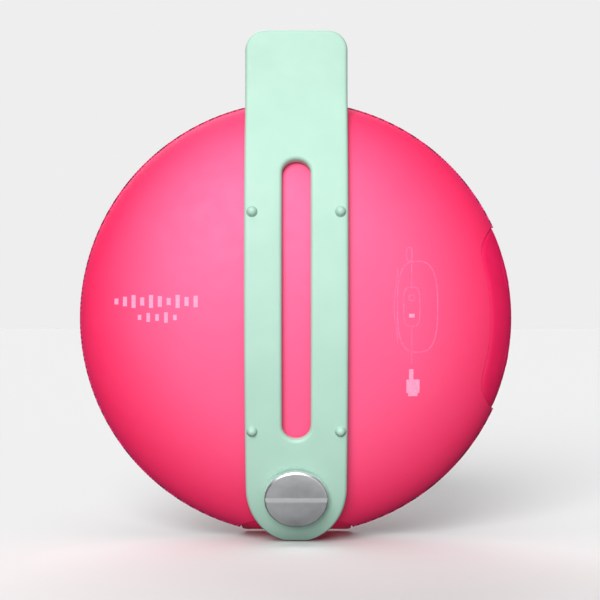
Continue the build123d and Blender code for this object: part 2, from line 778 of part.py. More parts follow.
def build():
    strap = whole_strap()
    pieces = {
        "rear_shell": rear_shell(),
        "grille_fabric": grille_fabric(),
        "front_grille": front_grille(),
        "hem_ring": hem_ring(),
        "baffle": baffle(),
        "baffle_seal": baffle_seal(),
        "driver_gasket": driver_gasket(),
        "basket": basket(),
        "top_plate": top_plate(),
        "magnet": magnet(),
        "yoke": yoke(),
        "voice_coil": voice_coil(),
        "spider": spider(),
        "cone": cone(),
        "surround": surround(),
        "dust_cap": dust_cap(),
        "side_panel": side_panel(),
        "power_button": side_key(KEY_Z),
        "play_button": side_key(-KEY_Z),
        "side_switches": side_switches(),
        "side_board": side_board(),
        "volume_up_button": volume_button(-1),
        "volume_down_button": volume_button(1),
        "volume_up_board": front_board(-1),
        "volume_down_board": front_board(1),
        "front_switches": front_switches(),
        "foot_pad": foot_pad(),
        "port_door": port_door(),
        "usb_socket": usb_socket(),
        "port_board": port_board(),
        "strap_lug": strap_lug(strap),
        "strap_blade": strap_blade(strap),
        "lug_bushing": lug_bushing(),
        "strap_stud": strap_stud(),
        "stud_insert": stud_insert(),
        "battery_cell": battery_cell(),
        "battery_cradle": battery_cradle(),
        "main_board": main_board(),
        "shield_can": shield_can(),
        "housing_screws": screws(housing_screw_places(), BAFFLE_Y, 9.0, 2.3, 1.05),
        "driver_screws": screws(driver_screw_places(), FLANGE_Y, 4.0, 1.5, 0.75),
        "board_screws": screws(board_screw_places(), BOARD_Y, 4.6, 1.9, 0.75),
        "speaker_lead": lead(SPEAKER_LEAD, 0.7, "speaker lead"),
        "battery_lead": lead(BATTERY_LEAD, 0.8, "battery lead"),
    }
    for name, z in (("upper", RADIATOR_Z), ("lower", -RADIATOR_Z)):
        pieces[f"{name}_radiator_frame"] = radiator_frame(z)
        pieces[f"{name}_radiator_surround"] = radiator_surround(z)
        pieces[f"{name}_radiator_plate"] = radiator_plate(z)
    return pieces


def write(pieces):
    os.makedirs("parts", exist_ok=True)
    lift = Pos(0, 0, CENTRE_HEIGHT)
    for name, piece in pieces.items():
        solids = piece if isinstance(piece, list) else piece.solids()
        lifted = [lift * solid for solid in solids]
        whole = lifted[0] if len(lifted) == 1 else Compound(children=lifted)
        export_step(whole, f"parts/{name}.step")


write(build())
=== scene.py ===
import json
import math

import bmesh
import bpy
import numpy as np
from mathutils import Matrix, Vector
from mathutils.bvhtree import BVHTree


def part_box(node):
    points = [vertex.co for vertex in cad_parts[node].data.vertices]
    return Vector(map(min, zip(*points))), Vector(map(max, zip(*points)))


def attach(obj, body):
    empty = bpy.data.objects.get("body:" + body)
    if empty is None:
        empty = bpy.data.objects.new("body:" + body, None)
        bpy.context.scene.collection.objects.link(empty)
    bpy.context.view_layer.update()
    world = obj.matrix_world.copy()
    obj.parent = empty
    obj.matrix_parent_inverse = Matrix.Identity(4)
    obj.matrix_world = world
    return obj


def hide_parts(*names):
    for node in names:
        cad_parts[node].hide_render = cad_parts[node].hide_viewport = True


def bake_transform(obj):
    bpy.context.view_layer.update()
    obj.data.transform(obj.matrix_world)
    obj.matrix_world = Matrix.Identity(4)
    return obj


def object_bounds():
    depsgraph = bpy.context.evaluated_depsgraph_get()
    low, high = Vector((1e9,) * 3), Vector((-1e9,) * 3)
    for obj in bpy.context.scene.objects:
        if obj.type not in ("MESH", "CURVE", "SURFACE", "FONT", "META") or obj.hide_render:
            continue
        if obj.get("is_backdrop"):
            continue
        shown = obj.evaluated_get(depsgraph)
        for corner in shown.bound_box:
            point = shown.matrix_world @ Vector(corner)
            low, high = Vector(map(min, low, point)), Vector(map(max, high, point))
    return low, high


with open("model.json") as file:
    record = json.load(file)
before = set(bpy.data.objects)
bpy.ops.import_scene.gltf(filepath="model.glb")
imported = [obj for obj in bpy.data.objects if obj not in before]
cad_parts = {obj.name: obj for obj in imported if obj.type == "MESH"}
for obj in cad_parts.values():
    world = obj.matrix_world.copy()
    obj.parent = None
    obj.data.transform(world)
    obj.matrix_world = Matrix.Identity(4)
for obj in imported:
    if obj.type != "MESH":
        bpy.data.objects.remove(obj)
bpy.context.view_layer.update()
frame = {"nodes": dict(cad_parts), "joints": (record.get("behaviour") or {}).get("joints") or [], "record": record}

# Rear shell. One injection-moulded dome, half of an ellipse turned about the speaker's
# axis, with a soft-touch coat. Its rim is rounded over where the fabric tucks under it,
# and it has two openings, for the key panel at the side and for the foot below.
MM = 0.001
fabric_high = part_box("grille_fabric")[1]
middle = Vector((0, 0, fabric_high.z - fabric_high.x))
shell_radius = 60.5 * MM
shell_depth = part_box("rear_shell")[1].y
shell_wall = 2.4 * MM
parting_y = fabric_high.y + 0.1 * MM
front_radius = 60.8 * MM
front_depth = 25.15 * MM
front_power = 2.5


def new_piece(name, vertices, faces):
    """A smooth-shaded mesh object with its faces turned outward."""
    mesh = bpy.data.meshes.new(name)
    mesh.from_pydata([tuple(v) for v in vertices], [], faces)
    sheet = bmesh.new()
    sheet.from_mesh(mesh)
    bmesh.ops.remove_doubles(sheet, verts=sheet.verts, dist=0.002 * MM)
    bmesh.ops.dissolve_degenerate(sheet, edges=sheet.edges, dist=0.001 * MM)
    bmesh.ops.recalc_face_normals(sheet, faces=sheet.faces)
    for face in sheet.faces:
        face.smooth = True
    sheet.to_mesh(mesh)
    sheet.free()
    piece = bpy.data.objects.new(name, mesh)
    bpy.context.scene.collection.objects.link(piece)
    return piece


def loft(name, rings):
    """Skins a row of rings of points, one after the other, with four-sided faces."""
    count = len(rings[0])
    vertices = [point for ring in rings for point in ring]
    faces = []
    for k in range(len(rings) - 1):
        here, there = k * count, (k + 1) * count
        for i in range(count):
            j = (i + 1) % count
            faces.append((here + i, here + j, there + j, there + i))
    return new_piece(name, vertices, faces)


def turned(name, profile, place=None, segments=128):
    """Turns (radius, height) points about an axis; place takes the axis where it goes."""
    place = place or Matrix.Translation(middle) @ Matrix.Rotation(-math.pi / 2, 4, "X")
    rings = []
    for radius, height in profile:
        ring = []
        for k in range(segments):
            turn = 2 * math.pi * k / segments
            ring.append(place @ Vector((radius * math.cos(turn), radius * math.sin(turn), height)))
        rings.append(ring)
    return loft(name, rings)


def pill(length, width, inset=0.0, arc_steps=14, side_steps=16):
    """Points round a bar with round ends, long way along the first axis."""
    radius = max(width / 2 - inset, 0)
    reach = (length - width) / 2
    points = []
    for end in (1, -1):
        for k in range(arc_steps + 1):
            turn = math.pi * (k / arc_steps - 0.5)
            points.append((end * (reach + radius * math.cos(turn)), end * radius * math.sin(turn)))
        for k in range(1, side_steps):
            points.append((end * reach * (1 - 2 * k / side_steps), end * radius))
    return points


def round_over(radius, steps=5):
    """(inset, sink) pairs of a quarter-round edge, from the flat face outward."""
    pairs = []
    for k in range(steps + 1):
        turn = math.pi / 2 * k / steps
        pairs.append((radius * (1 - math.sin(turn)), radius * (1 - math.cos(turn))))
    return pairs


def pill_cap(name, length, width, edge, thick, place, flats=5):
    """A round-ended cap: crowned by place(u, v, sink), its rim rounded over by edge."""
    half = width / 2
    steps = [half + (edge - half) * k / flats for k in range(flats)]
    profile = [(inset, 0.0) for inset in steps] + round_over(edge)
    profile += [(0.0, thick), (half * 0.5, thick), (half, thick)]
    rings = [
        [place(u, v, sink) for u, v in pill(length, width, inset)] for inset, sink in profile
    ]
    return loft(name, rings)


def prism(loop, shift):
    """A closed bar from a loop of points pushed along shift, used as a cutter."""
    count = len(loop)
    vertices = [Vector(p) for p in loop] + [Vector(p) + shift for p in loop]
    faces = [tuple(range(count)), tuple(range(2 * count - 1, count - 1, -1))]
    faces += [(i, (i + 1) % count, count + (i + 1) % count, count + i) for i in range(count)]
    return new_piece("cutter", vertices, faces)


def cut(piece, cutters):
    """Cuts openings and keeps the piece's own smooth shading beside them."""
    mesh = piece.data
    tree = BVHTree.FromPolygons(
        [v.co.copy() for v in mesh.vertices], [tuple(p.vertices) for p in mesh.polygons]
    )
    corners = [tuple(p.vertices) for p in mesh.polygons]
    places = [v.co.copy() for v in mesh.vertices]
    normals = [Vector(n.vector) for n in mesh.vertex_normals]
    for cutter in cutters:
        step = piece.modifiers.new("cut", "BOOLEAN")
        step.operation = "DIFFERENCE"
        step.solver = "EXACT"
        step.object = cutter
    bpy.context.view_layer.update()
    graph = bpy.context.evaluated_depsgraph_get()
    made = bpy.data.meshes.new_from_object(piece.evaluated_get(graph))
    piece.modifiers.clear()
    piece.data = made
    for cutter in cutters:
        bpy.data.objects.remove(cutter)
    shading = []
    for face in made.polygons:
        face.use_smooth = True
        for corner in face.vertices:
            spot, _, index, _ = tree.find_nearest(made.vertices[corner].co)
            shares = [1 / ((places[v] - spot).length + 1e-7) ** 2 for v in corners[index]]
            smooth = Vector((0, 0, 0))
            for share, v in zip(shares, corners[index]):
                smooth += share * normals[v]
            smooth.normalize()
            shading.append(smooth if smooth.dot(face.normal) > 0.8 else face.normal.copy())
    made.normals_split_custom_set(shading)


def dress(piece, material, body):
    """Gives a piece its finish and the CAD body it moves with."""
    piece.data.materials.clear()
    piece.data.materials.append(material)
    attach(piece, body)
    return piece


def finish(name, colour, roughness, **sockets):
    """A surface shader with its plain values set; returns the material and its parts."""
    material = bpy.data.materials.new(name)
    material.use_nodes = True
    nodes, links = material.node_tree.nodes, material.node_tree.links
    shader = nodes["Principled BSDF"]
    shader.inputs["Base Color"].default_value = (*colour, 1)
    shader.inputs["Roughness"].default_value = roughness
    for socket, value in sockets.items():
        shader.inputs[socket.replace("_", " ")].default_value = value
    return material, nodes, links, shader


def cloudy(nodes, links, scale, low, high, detail=3.0):
    """A soft noise between two values, in the object's own space; returns its socket."""
    space = nodes.new("ShaderNodeTexCoord")
    noise = nodes.new("ShaderNodeTexNoise")
    noise.inputs["Scale"].default_value = scale
    noise.inputs["Detail"].default_value = detail
    spread = nodes.new("ShaderNodeMapRange")
    spread.inputs["From Min"].default_value = 0.3
    spread.inputs["From Max"].default_value = 0.7
    spread.inputs["To Min"].default_value = low
    spread.inputs["To Max"].default_value = high
    links.new(space.outputs["Object"], noise.inputs["Vector"])
    links.new(noise.outputs["Fac"], spread.inputs["Value"])
    return spread.outputs["Result"]


def tint(nodes, links, shader, factor, dark, light):
    """Varies the base colour between two tones."""
    mix = nodes.new("ShaderNodeMix")
    mix.data_type = "RGBA"
    mix.inputs[6].default_value = (*dark, 1)
    mix.inputs[7].default_value = (*light, 1)
    links.new(factor, mix.inputs[0])
    links.new(mix.outputs[2], shader.inputs["Base Color"])


def grain(nodes, links, shader, scale, strength, distance=0.05 * MM):
    """Fine moulded or blasted grain as bump."""
    bump = nodes.new("ShaderNodeBump")
    bump.inputs["Strength"].default_value = strength
    bump.inputs["Distance"].default_value = distance
    links.new(cloudy(nodes, links, scale, 0.0, 1.0), bump.inputs["Height"])
    links.new(bump.outputs["Normal"], shader.inputs["Normal"])


def rear_radius(y):
    return shell_radius * math.sqrt(max(0.0, 1 - (y / shell_depth) ** 2))


def front_radius_at(y, radius=front_radius, depth=front_depth):
    share = min(1.0, abs(y) / depth)
    return radius * (1 - share**front_power) ** (1 / front_power)


def dome_y(x, z):
    """Height of the bare dome over a point of the back, z from the speaker's middle."""
    return shell_depth * math.sqrt(max(0.0, 1 - (x * x + z * z) / shell_radius**2))


def shell_profile():
    """Outline of the dome's wall: the outside, the rounded rim, then the inside."""
    rim_turn = math.asin((parting_y + 0.5 * MM) / shell_depth)
    outer = []
    for k in range(61):
        turn = math.pi / 2 + (rim_turn - math.pi / 2) * k / 60
        outer.append((shell_radius * math.cos(turn), shell_depth * math.sin(turn)))
    rim = rear_radius(parting_y)
    lip = [(0.02, 0.28), (0.12, 0.09), (0.3, 0.0), (1.2, 0.0)]
    outer += [(rim - inward * MM, parting_y + up * MM) for inward, up in lip]
    radius, depth = shell_radius - shell_wall, shell_depth - shell_wall
    inner_turn = math.asin(parting_y / depth)
    inner = []
    for k in range(25):
        turn = inner_turn + (math.pi / 2 - inner_turn) * k / 24
        inner.append((radius * math.cos(turn), depth * math.sin(turn)))
    return outer + inner


panel_low, panel_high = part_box("side_panel")
panel_length = panel_high.z - panel_low.z
panel_width = panel_high.y - panel_low.y
foot_low, foot_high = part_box("foot_pad")
foot_length = foot_high.x - foot_low.x
foot_width = foot_high.y - foot_low.y
foot_y = (foot_high.y + foot_low.y) / 2
foot_front_corner, foot_rear_corner = 3.0 * MM, 7.0 * MM
opening_gap = 0.25 * MM


def foot_loop(inset=0.0, steps=10):
    """Points round the foot's outline: small corners in front, larger ones behind."""
    points = []
    for side_x, side_y in ((1, -1), (1, 1), (-1, 1), (-1, -1)):
        corner = foot_front_corner if side_y < 0 else foot_rear_corner
        hub = ((foot_length / 2 - corner) * side_x, foot_y + (foot_width / 2 - corner) * side_y)
        start = {(1, -1): -90, (1, 1): 0, (-1, 1): 90, (-1, -1): 180}[side_x, side_y]
        for k in range(steps + 1):
            turn = math.radians(start + 90 * k / steps)
            reach = corner - inset
            points.append((hub[0] + reach * math.cos(turn), hub[1] + reach * math.sin(turn)))
    return points


def side_cutter(length, width, z=0.0):
    loop = [middle + Vector((-75 * MM, v, z + u)) for u, v in pill(length, width)]
    return prism(loop, Vector((35 * MM, 0, 0)))


def from_below(outline):
    loop = [middle + Vector((u, v, -75 * MM)) for u, v in outline]
    return prism(loop, Vector((0, 0, 25 * MM)))


shell = turned("back_shell", shell_profile(), segments=288)
cut(shell, [
    side_cutter(panel_length + 2 * opening_gap, panel_width + 2 * opening_gap),
    from_below(foot_loop(-opening_gap)),
])

soft_touch, nodes, links, shader = finish(
    "soft_touch_pink", (0.96, 0.02, 0.11), 0.57, Specular_IOR_Level=1.0, IOR=1.75,
    Sheen_Weight=0.45, Sheen_Roughness=0.4,
)
shader.inputs["Sheen Tint"].default_value = (1.0, 0.0, 0.2, 1)
shader.inputs["Specular Tint"].default_value = (1.0, 0.6, 0.95, 1)
# Painted highlight and painted shade: the base colour is paler over the middle of the dome and deeper towards its
# rim, standing in for how the light falls over the coat, with a little random mottle mixed in.
crown = nodes.new("ShaderNodeTexCoord")
from_middle = nodes.new("ShaderNodeVectorMath")
from_middle.operation = "SUBTRACT"
from_middle.inputs[1].default_value = middle
flat = nodes.new("ShaderNodeVectorMath")
flat.operation = "MULTIPLY"
flat.inputs[1].default_value = (1, 0, 1)
reach = nodes.new("ShaderNodeVectorMath")
reach.operation = "LENGTH"
links.new(crown.outputs["Object"], from_middle.inputs[0])
links.new(from_middle.outputs[0], flat.inputs[0])
links.new(flat.outputs[0], reach.inputs[0])
painted_rim_shade = nodes.new("ShaderNodeMapRange")
painted_rim_shade.interpolation_type = "SMOOTHSTEP"
painted_rim_shade.inputs["From Min"].default_value = 0.45 * shell_radius
painted_rim_shade.inputs["From Max"].default_value = 0.99 * shell_radius
links.new(reach.outputs["Value"], painted_rim_shade.inputs["Value"])
rim_shade_and_mottle = nodes.new("ShaderNodeMath")
rim_shade_and_mottle.operation = "ADD"
rim_shade_and_mottle.use_clamp = True
links.new(painted_rim_shade.outputs["Result"], rim_shade_and_mottle.inputs[0])
links.new(cloudy(nodes, links, 90, -0.04, 0.04), rim_shade_and_mottle.inputs[1])
# Paler middle tone as a painted highlight, deeper rim tone as painted shade.
tint(nodes, links, shader, rim_shade_and_mottle.outputs[0], (0.97, 0.058, 0.175), (0.96, 0.002, 0.085))
links.new(cloudy(nodes, links, 260, 0.62, 0.66), shader.inputs["Roughness"])
grain(nodes, links, shader, 5200, 0.12, 0.02 * MM)
dress(shell, soft_touch, "case")
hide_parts("rear_shell")

# Print on the dome. Pale ink, pad-printed: a plain bar motif on one side and a line
# drawing of the speaker seen edge-on, with its key panel and a pressing finger, on the
# other. Every stroke is a ribbon of ink that lies on the shell.
ink, nodes, links, shader = finish("pale_pink_ink", (0.93, 0.33, 0.52), 0.55)
specks = cloudy(nodes, links, 1400, 0, 1)
tint(nodes, links, shader, specks, (0.90, 0.27, 0.46), (0.96, 0.37, 0.57))
faint_ink, nodes, links, shader = finish("faint_pink_ink", (0.92, 0.12, 0.30), 0.55)
specks = cloudy(nodes, links, 1400, 0, 1)
tint(nodes, links, shader, specks, (0.90, 0.09, 0.25), (0.95, 0.17, 0.37))
ink_height = 0.03 * MM


def on_dome(x, z):
    """A point of ink: x and z in millimetres from the middle of the back."""
    x, z = x * MM, z * MM
    y = dome_y(x, z)
    out = Vector((x / shell_radius**2, y / shell_depth**2, z / shell_radius**2)).normalized()
    return middle + Vector((x, y, z)) + out * ink_height


def ribbon(points, width, closed=False):
    """Left and right edges of a stroke along points; returns vertices and faces."""
    count = len(points)
    vertices, faces = [], []
    for k, (x, z) in enumerate(points):
        before = points[k - 1] if k or closed else points[0]
        after = points[(k + 1) % count] if k < count - 1 or closed else points[-1]
        along = Vector((after[0] - before[0], after[1] - before[1])).normalized()
        side = Vector((-along.y, along.x)) * width / 2
        vertices.append(on_dome(x + side.x, z + side.y))
        vertices.append(on_dome(x - side.x, z - side.y))
    for k in range(count if closed else count - 1):
        j = (k + 1) % count
        faces.append((2 * k, 2 * j, 2 * j + 1, 2 * k + 1))
    return vertices, faces


def print_marks(name, strokes, material):
    vertices, faces = [], []
    for points, width, closed in strokes:
        more, quads = ribbon(points, width, closed)
        faces += [tuple(i + len(vertices) for i in quad) for quad in quads]
        vertices += more
    marks = new_piece(name, vertices, faces)
    if marks.data.polygons[0].normal.y < 0:
        marks.data.flip_normals()
    return dress(marks, material, "case")


def run(x_from, z_from, x_to, z_to, steps=6):
    return [
        (x_from + (x_to - x_from) * k / steps, z_from + (z_to - z_from) * k / steps)
        for k in range(steps + 1)
    ]


def oval(x, z, half_x, half_z, power=2.0, steps=64):
    points = []
    for k in range(steps):
        turn = 2 * math.pi * k / steps
        c, s = math.cos(turn), math.sin(turn)
        points.append((
            x + half_x * math.copysign(abs(c) ** (2 / power), c),
            z + half_z * math.copysign(abs(s) ** (2 / power), s),
        ))
    return points


bar_strokes = []
for k, height in enumerate((1.6, 2.6, 3.5, 2.2, 3.5, 2.9, 1.9, 3.5, 2.4, 3.1)):
    x = 49.0 - 2.45 * k
    bar_strokes.append((run(x, 4.6 - height / 2, x, 4.6 + height / 2), 1.15, False))
for k, height in enumerate((1.4, 2.4, 1.8, 2.8, 1.4)):
    x = 42.4 - 2.45 * k
    bar_strokes.append((run(x, 0.3 - height / 2, x, 0.3 + height / 2), 1.0, False))
print_marks("printed_bars", bar_strokes, ink)

sketch_x, sketch_z = -32.6, 3.2
sketch = [
    (oval(sketch_x, sketch_z, 5.5, 12.2, 2.9), 0.34, True),
    (oval(sketch_x + 1.6, sketch_z, 2.2, 5.2, 4.0, 48), 0.3, True),
    (oval(sketch_x + 1.6, sketch_z + 2.4, 0.8, 0.8, 2.0, 24), 0.3, True),
    (run(sketch_x + 1.6, sketch_z + 5.2, sketch_x + 1.6, sketch_z + 11.9), 0.24, False),
    (run(sketch_x + 1.6, sketch_z - 5.2, sketch_x + 1.6, sketch_z - 15.4), 0.24, False),
    (oval(sketch_x + 2.2, sketch_z + 14.1, 0.75, 1.9, 2.6, 32), 0.28, True),
]
strap_stroke = [
    (sketch_x + 5.9 + 0.5 * math.cos(math.pi * t / 12), sketch_z + 10.5 * t / 12)
    for t in range(-12, 13)
]
sketch.append((strap_stroke, 0.26, False))
print_marks("printed_sketch", sketch, faint_ink)
press_marks = [
    (run(sketch_x + 1.6, sketch_z - 2.9, sketch_x + 1.6, sketch_z - 1.9), 1.5, False),
    (run(sketch_x + 1.2, sketch_z - 23.2, sketch_x + 1.2, sketch_z - 19.6), 3.6, False),
    (run(sketch_x + 1.2, sketch_z - 24.1, sketch_x + 1.2, sketch_z - 23.2), 2.6, False),
    (run(sketch_x + 1.7, sketch_z - 19.6, sketch_x + 1.7, sketch_z - 16.8), 1.2, False),
]
print_marks("printed_press_mark", press_marks, ink)

# Front fabric. One piece of two-tone woven cloth stretched over the grille plate and
# tucked under the shell's rim. Its yarns are modelled: each crossing is a small pillow,
# pink over maroon in turn.
yarn_pitch = 0.85 * MM
yarn_height = 0.16 * MM
cloth_thick = 0.45 * MM
volume_places = []
for node in ("volume_up_button", "volume_down_button"):
    low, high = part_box(node)
    volume_places.append(((low.x + high.x) / 2, (low.z + high.z) / 2, (high.x - low.x) / 2))


def bowl_rows(rows):
    """(radius, y, way along the cloth from its middle) from the centre to the rim."""
    turns = [math.pi / 2 * (1 - k / rows) for k in range(rows + 1)]
    fine = []
    for k in range(4000):
        turn = math.pi / 2 * (1 - k / 3999)
        r = front_radius * max(0.0, math.cos(turn)) ** (2 / front_power)
        y = -front_depth * max(0.0, math.sin(turn)) ** (2 / front_power)
        fine.append((r, y))
    fine.append((front_radius, parting_y - 0.1 * MM))
    fine = np.array(fine)
    way = np.concatenate([[0], np.cumsum(np.hypot(*np.diff(fine, axis=0).T))])
    at = np.linspace(0.0, way[-1], rows + 1)
    return np.stack([np.interp(at, way, fine[:, 0]), np.interp(at, way, fine[:, 1]), at], axis=1)


def cloth_front(rows=210, around=1080):
    """Grids of the cloth's points, lifted at each crossing, and their place laid flat."""
    line = bowl_rows(rows)[1:]
    turn = np.arange(around) * 2 * math.pi / around
    r, y, way = (line[:, k][:, None] for k in range(3))
    x, z = r * np.cos(turn), r * np.sin(turn)
    y = np.broadcast_to(y, x.shape).copy()
    u, v = way * np.cos(turn), way * np.sin(turn)
    out_r = np.abs(np.gradient(line[:, 1], line[:, 2]))[:, None]
    out_y = -np.abs(np.gradient(line[:, 0], line[:, 2]))[:, None]
    weave = np.cos(math.pi * u / yarn_pitch) * np.cos(math.pi * v / yarn_pitch)
    lift = yarn_height * np.where(weave > 0, 1.0, 0.65) * np.abs(weave) ** 0.6 - yarn_height
    tuck = np.clip((parting_y - 0.1 * MM - y) / (0.5 * MM), 0, 1)
    lift = lift * tuck - 0.12 * MM * (1 - tuck)
    lengths = np.hypot(out_r, out_y)
    out_r, out_y = out_r / lengths, out_y / lengths
    x += lift * out_r * np.cos(turn)
    z += lift * out_r * np.sin(turn)
    y += lift * out_y
    return x, y, z, u, v


def hole_distances(x, y, z):
    """How far each point is outside the nearest opening; below zero is inside one."""
    gap = opening_gap
    reach = (panel_length - panel_width) / 2
    side = np.hypot(np.maximum(np.abs(z) - reach, 0), y) - panel_width / 2 - gap
    far = np.where(x < 0, side, 1.0)
    corner = np.where(y < foot_y, foot_front_corner, foot_rear_corner)
    over_x = np.abs(x) - (foot_length / 2 - corner)
    over_y = np.abs(y - foot_y) - (foot_width / 2 - corner)
    below = np.hypot(np.maximum(over_x, 0), np.maximum(over_y, 0))
    below += np.minimum(np.maximum(over_x, over_y), 0) - corner - gap
    far = np.minimum(far, np.where(z < 0, below, 1.0))
    for key_x, _, key_radius in volume_places:
        key = np.hypot(x - key_x, z) - key_radius - 0.5 * MM
        far = np.minimum(far, np.where(y < -5 * MM, key, 1.0))
    return far


def settle_on_edge(x, y, z):
    """Moves points that fall just inside an opening out to its edge, along the skin."""
    step = 0.01 * MM
    for _ in range(3):
        far = hole_distances(x, y, z)
        push = np.where((far < 0) & (far > -1.2 * MM), -far, 0)
        gx = (hole_distances(x + step, y, z) - hole_distances(x - step, y, z)) / (2 * step)
        gy = (hole_distances(x, y + step, z) - hole_distances(x, y - step, z)) / (2 * step)
        gz = (hole_distances(x, y, z + step) - hole_distances(x, y, z - step)) / (2 * step)
        size = np.maximum(np.sqrt(gx**2 + gy**2 + gz**2), 0.2)
        x, y, z = x + push * gx / size, y + push * gy / size, z + push * gz / size
    return x, y, z


def woven_front():
    """The cloth as one mesh with its openings left out and its hem tucked in."""
    x, y, z, u, v = cloth_front()
    far = hole_distances(x, y, z)
    x, y, z = settle_on_edge(x, y, z)
    rows, around = x.shape
    vertices = np.stack([x, y, z + middle.z], axis=2).reshape(-1, 3)
    index = np.arange(rows * around).reshape(rows, around)
    a, b = index[:-1], index[1:]
    quads = np.stack([a, np.roll(a, -1, 1), np.roll(b, -1, 1), b], axis=2).reshape(-1, 4)
    inside = far.reshape(-1) < 0
    quads = quads[~inside[quads].all(axis=1)]
    used = np.unique(quads)
    order = np.full(len(vertices), -1)
    order[used] = np.arange(len(used))
    mesh = bpy.data.meshes.new("front_cloth")
    faces = [tuple(q) for q in order[quads].tolist()]
    first = [i for i in order[index[0]].tolist() if i >= 0]
    faces.append(tuple(reversed(first)))
    mesh.from_pydata(vertices[used].tolist(), [], faces)
    layer = mesh.uv_layers.new(name="yarns")
    corners = np.empty(len(mesh.loops), int)
    mesh.loops.foreach_get("vertex_index", corners)
    flat = np.stack([u.reshape(-1)[used], v.reshape(-1)[used]], axis=1)[corners] / MM
    layer.data.foreach_set("uv", flat.astype(np.float32).ravel())
    mesh.polygons.foreach_set("use_smooth", [True] * len(mesh.polygons))
    cloth = bpy.data.objects.new("front_cloth", mesh)
    bpy.context.scene.collection.objects.link(cloth)
    if sum(p.normal.y for p in list(mesh.polygons)[:200]) > 0:
        mesh.flip_normals()
    thick = cloth.modifiers.new("thick", "SOLIDIFY")
    thick.thickness = cloth_thick
    thick.offset = -1
    return cloth


cloth = woven_front()
cloth_finish, nodes, links, shader = finish(
    "two_tone_weave", (0.62, 0.02, 0.13), 0.85, Sheen_Weight=0.35, Sheen_Roughness=0.5
)
uv = nodes.new("ShaderNodeUVMap")
uv.uv_map = "yarns"
split = nodes.new("ShaderNodeSeparateXYZ")
links.new(uv.outputs["UV"], split.inputs["Vector"])
waves = []
for axis in ("X", "Y"):
    scaled = nodes.new("ShaderNodeMath")
    scaled.operation = "MULTIPLY"
    scaled.inputs[1].default_value = math.pi / (yarn_pitch / MM)
    wave = nodes.new("ShaderNodeMath")
    wave.operation = "COSINE"
    links.new(split.outputs[axis], scaled.inputs[0])
    links.new(scaled.outputs[0], wave.inputs[0])
    waves.append(wave)
crossing = nodes.new("ShaderNodeMath")
crossing.operation = "MULTIPLY"
links.new(waves[0].outputs[0], crossing.inputs[0])
links.new(waves[1].outputs[0], crossing.inputs[1])
which = nodes.new("ShaderNodeMapRange")
which.inputs["From Min"].default_value = -0.12
which.inputs["From Max"].default_value = 0.12
links.new(crossing.outputs[0], which.inputs["Value"])
tint(nodes, links, shader, which.outputs["Result"], (0.10, 0.006, 0.03), (0.80, 0.02, 0.16))
grain(nodes, links, shader, 9000, 0.5, 0.05 * MM)
dress(cloth, cloth_finish, "case")
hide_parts("grille_fabric")

# Side key panel. A moulded rubber pad with round ends, glued into the side of the case
# across the joint of shell and cloth, its edge rounded over. Two oval keys stand in it,
# each with a raised mark: a power ring with a stroke, and a play arrow with two bars.
panel_sink = 0.12 * MM
panel_thick = 2.0 * MM


def side_point(u, v, sink, z=0.0):
    """A point on the side of the body: u up from z, v back from the middle."""
    y = v
    around = rear_radius(y) if y > 0 else front_radius_at(y, shell_radius, front_depth)
    up = z + u
    x = -math.sqrt(max(0.0, (around - sink) ** 2 - up * up))
    return middle + Vector((x, y, up))


panel = pill_cap(
    "key_panel", panel_length, panel_width, 0.9 * MM, panel_thick,
    lambda u, v, sink: side_point(u, v, panel_sink + sink), flats=9,
)
key_low, key_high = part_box("power_button")
key_length, key_width = key_high.z - key_low.z, key_high.y - key_low.y
key_z = (key_high.z + key_low.z) / 2 - middle.z
key_gap = 0.3 * MM
cut(panel, [
    side_cutter(key_length + 2 * key_gap, key_width + 2 * key_gap, z) for z in (key_z, -key_z)
])
panel_rubber, nodes, links, shader = finish(
    "panel_rubber", (0.86, 0.006, 0.095), 0.5, Specular_IOR_Level=0.8,
    Sheen_Weight=0.4, Sheen_Roughness=0.4,
)
shader.inputs["Sheen Tint"].default_value = (1.0, 0.0, 0.2, 1)
shader.inputs["Specular Tint"].default_value = (1.0, 0.7, 0.9, 1)
clouds = cloudy(nodes, links, 120, 0, 1)
tint(nodes, links, shader, clouds, (0.84, 0.005, 0.088), (0.90, 0.008, 0.102))
links.new(cloudy(nodes, links, 400, 0.46, 0.55), shader.inputs["Roughness"])
grain(nodes, links, shader, 6000, 0.15, 0.02 * MM)
dress(panel, panel_rubber, "case")
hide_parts("side_panel")

key_sink = 0.12 * MM
mark_height = 0.06 * MM


def side_ribbon(points, width, z, closed=False):
    """A raised mark with a flat top that follows the side key's face."""
    rings = []
    count = len(points)
    for k, (u, v) in enumerate(points):
        before = points[k - 1] if k or closed else points[0]
        after = points[(k + 1) % count] if k < count - 1 or closed else points[-1]
        along = Vector((after[0] - before[0], after[1] - before[1])).normalized()
        side = Vector((-along.y, along.x)) * width * MM / 2
        a, b = (u * MM + side.x, v * MM + side.y), (u * MM - side.x, v * MM - side.y)
        rings.append([
            side_point(*a, key_sink + 0.1 * MM, z), side_point(*a, key_sink - mark_height, z),
            side_point(*b, key_sink - mark_height, z), side_point(*b, key_sink + 0.1 * MM, z),
        ])
    if closed:
        rings.append(rings[0])
    return rings


def key_marks(name, rows):
    """Joins a key's marks into one piece with closed ends."""
    vertices, faces = [], []
    for rings in rows:
        start = len(vertices)
        vertices += [point for ring in rings for point in ring]
        last = len(rings) - 1
        for k in range(last):
            for i in range(4):
                j, a = (i + 1) % 4, start + 4 * k
                faces.append((a + i, a + j, a + 4 + j, a + 4 + i))
        if (rings[0][0] - rings[-1][0]).length > 1e-6:
            faces.append(tuple(start + i for i in (3, 2, 1, 0)))
            faces.append(tuple(start + 4 * last + i for i in (0, 1, 2, 3)))
    return new_piece(name, vertices, faces)


